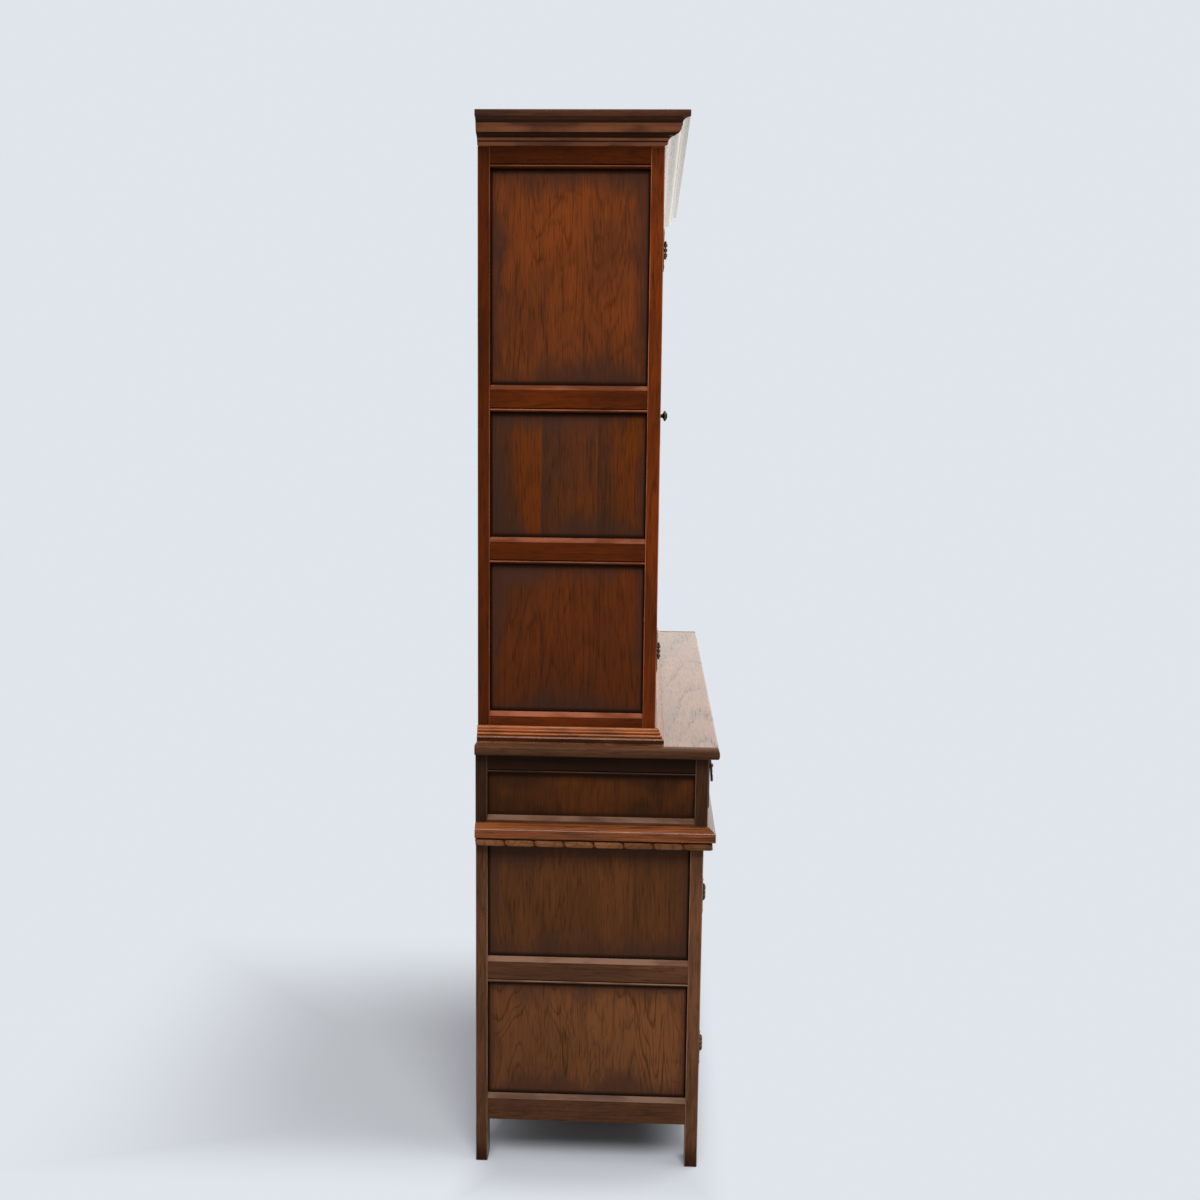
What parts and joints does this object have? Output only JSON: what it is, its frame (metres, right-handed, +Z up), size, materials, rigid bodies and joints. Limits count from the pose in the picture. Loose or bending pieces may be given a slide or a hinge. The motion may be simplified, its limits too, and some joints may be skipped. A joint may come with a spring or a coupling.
{
  "type": "display sideboard",
  "caption": "Dark oak display sideboard: a panelled cupboard base with lipped drawers and bail handles, carrying a glazed display case with shelves under a moulded cornice.",
  "frame": {"origin": "on the floor, under the middle of the sideboard's box", "axes": "+Z up, +Y towards the back, front towards -Y, +X to the right as seen from the front"},
  "size_m": [1.36, 0.445, 1.9297],
  "materials": {
    "dark_oak": "satin reddish-brown shaded oak",
    "drawer_oak": "plain unpolished wood",
    "aged_brass": "dark antique brass",
    "clear_glass": "clear flat glass"
  },
  "bodies": {
    "carcass": {"base_face_frame": "dark_oak", "base_left_end_frame": "dark_oak", "base_right_end_frame": "dark_oak", "base_left_lower_panel": "dark_oak", "base_left_upper_panel": "dark_oak", "base_right_lower_panel": "dark_oak", "base_right_upper_panel": "dark_oak", "base_back_panel": "dark_oak", "base_floor": "dark_oak", "cupboard_shelf": "dark_oak", "waist_board": "dark_oak", "drawer_case": "dark_oak", "sideboard_top": "dark_oak", "upper_face_frame": "dark_oak", "upper_left_end_frame": "dark_oak", "upper_right_end_frame": "dark_oak", "upper_left_lower_panel": "dark_oak", "upper_left_middle_panel": "dark_oak", "upper_left_upper_panel": "dark_oak", "upper_right_lower_panel": "dark_oak", "upper_right_middle_panel": "dark_oak", "upper_right_upper_panel": "dark_oak", "upper_back_panel": "dark_oak", "display_floor": "dark_oak", "lower_display_shelf": "dark_oak", "upper_display_shelf": "dark_oak", "plinth_moulding": "dark_oak", "cornice": "dark_oak", "base_left_lower_hinge": "aged_brass", "base_left_upper_hinge": "aged_brass", "base_right_lower_hinge": "aged_brass", "base_right_upper_hinge": "aged_brass", "upper_left_lower_hinge": "aged_brass", "upper_left_upper_hinge": "aged_brass", "upper_right_lower_hinge": "aged_brass", "upper_right_upper_hinge": "aged_brass"},
    "left_drawer": {"left_drawer_front": "dark_oak", "left_drawer_box": "drawer_oak", "left_outer_handle_plate": "aged_brass", "left_inner_handle_plate": "aged_brass"},
    "right_drawer": {"right_drawer_front": "dark_oak", "right_drawer_box": "drawer_oak", "right_outer_handle_plate": "aged_brass", "right_inner_handle_plate": "aged_brass"},
    "left_outer_bail": {"left_outer_bail": "aged_brass"},
    "left_inner_bail": {"left_inner_bail": "aged_brass"},
    "right_outer_bail": {"right_outer_bail": "aged_brass"},
    "right_inner_bail": {"right_inner_bail": "aged_brass"},
    "upper_left_door": {"upper_left_door_frame": "dark_oak", "upper_left_door_glass": "clear_glass", "upper_left_knob": "aged_brass"},
    "upper_right_door": {"upper_right_door_frame": "dark_oak", "upper_right_door_glass": "clear_glass", "upper_right_knob": "aged_brass"},
    "base_left_door": {"base_left_door_frame": "dark_oak", "base_left_door_panel": "dark_oak", "base_left_knob": "aged_brass"},
    "base_right_door": {"base_right_door_frame": "dark_oak", "base_right_door_panel": "dark_oak", "base_right_knob": "aged_brass"}
  },
  "joints": [
    {"name": "left_drawer_slide", "type": "slide", "parent": "carcass", "child": "left_drawer", "axis": [0, -1, 0], "range_m": [0, 0.28]},
    {"name": "right_drawer_slide", "type": "slide", "parent": "carcass", "child": "right_drawer", "axis": [0, -1, 0], "range_m": [0, 0.28]},
    {"name": "left_outer_bail_lift", "type": "hinge", "parent": "left_drawer", "child": "left_outer_bail", "pos_m": [-0.47, -0.2163, 0.741], "axis": [-1, 0, 0], "range_deg": [0, 85]},
    {"name": "left_inner_bail_lift", "type": "hinge", "parent": "left_drawer", "child": "left_inner_bail", "pos_m": [-0.17, -0.2163, 0.741], "axis": [-1, 0, 0], "range_deg": [0, 85]},
    {"name": "right_outer_bail_lift", "type": "hinge", "parent": "right_drawer", "child": "right_outer_bail", "pos_m": [0.47, -0.2163, 0.741], "axis": [-1, 0, 0], "range_deg": [0, 85]},
    {"name": "right_inner_bail_lift", "type": "hinge", "parent": "right_drawer", "child": "right_inner_bail", "pos_m": [0.17, -0.2163, 0.741], "axis": [-1, 0, 0], "range_deg": [0, 85]},
    {"name": "upper_left_door_swing", "type": "hinge", "parent": "carcass", "child": "upper_left_door", "pos_m": [-0.58125, -0.1093, 1.336], "axis": [0, 0, -1], "range_deg": [0, 120]},
    {"name": "upper_right_door_swing", "type": "hinge", "parent": "carcass", "child": "upper_right_door", "pos_m": [0.58125, -0.1093, 1.336], "axis": [0, 0, 1], "range_deg": [0, 120]},
    {"name": "base_left_door_swing", "type": "hinge", "parent": "carcass", "child": "base_left_door", "pos_m": [-0.61425, -0.2013, 0.39], "axis": [0, 0, -1], "range_deg": [0, 120]},
    {"name": "base_right_door_swing", "type": "hinge", "parent": "carcass", "child": "base_right_door", "pos_m": [0.61425, -0.2013, 0.39], "axis": [0, 0, 1], "range_deg": [0, 120]}
  ]
}
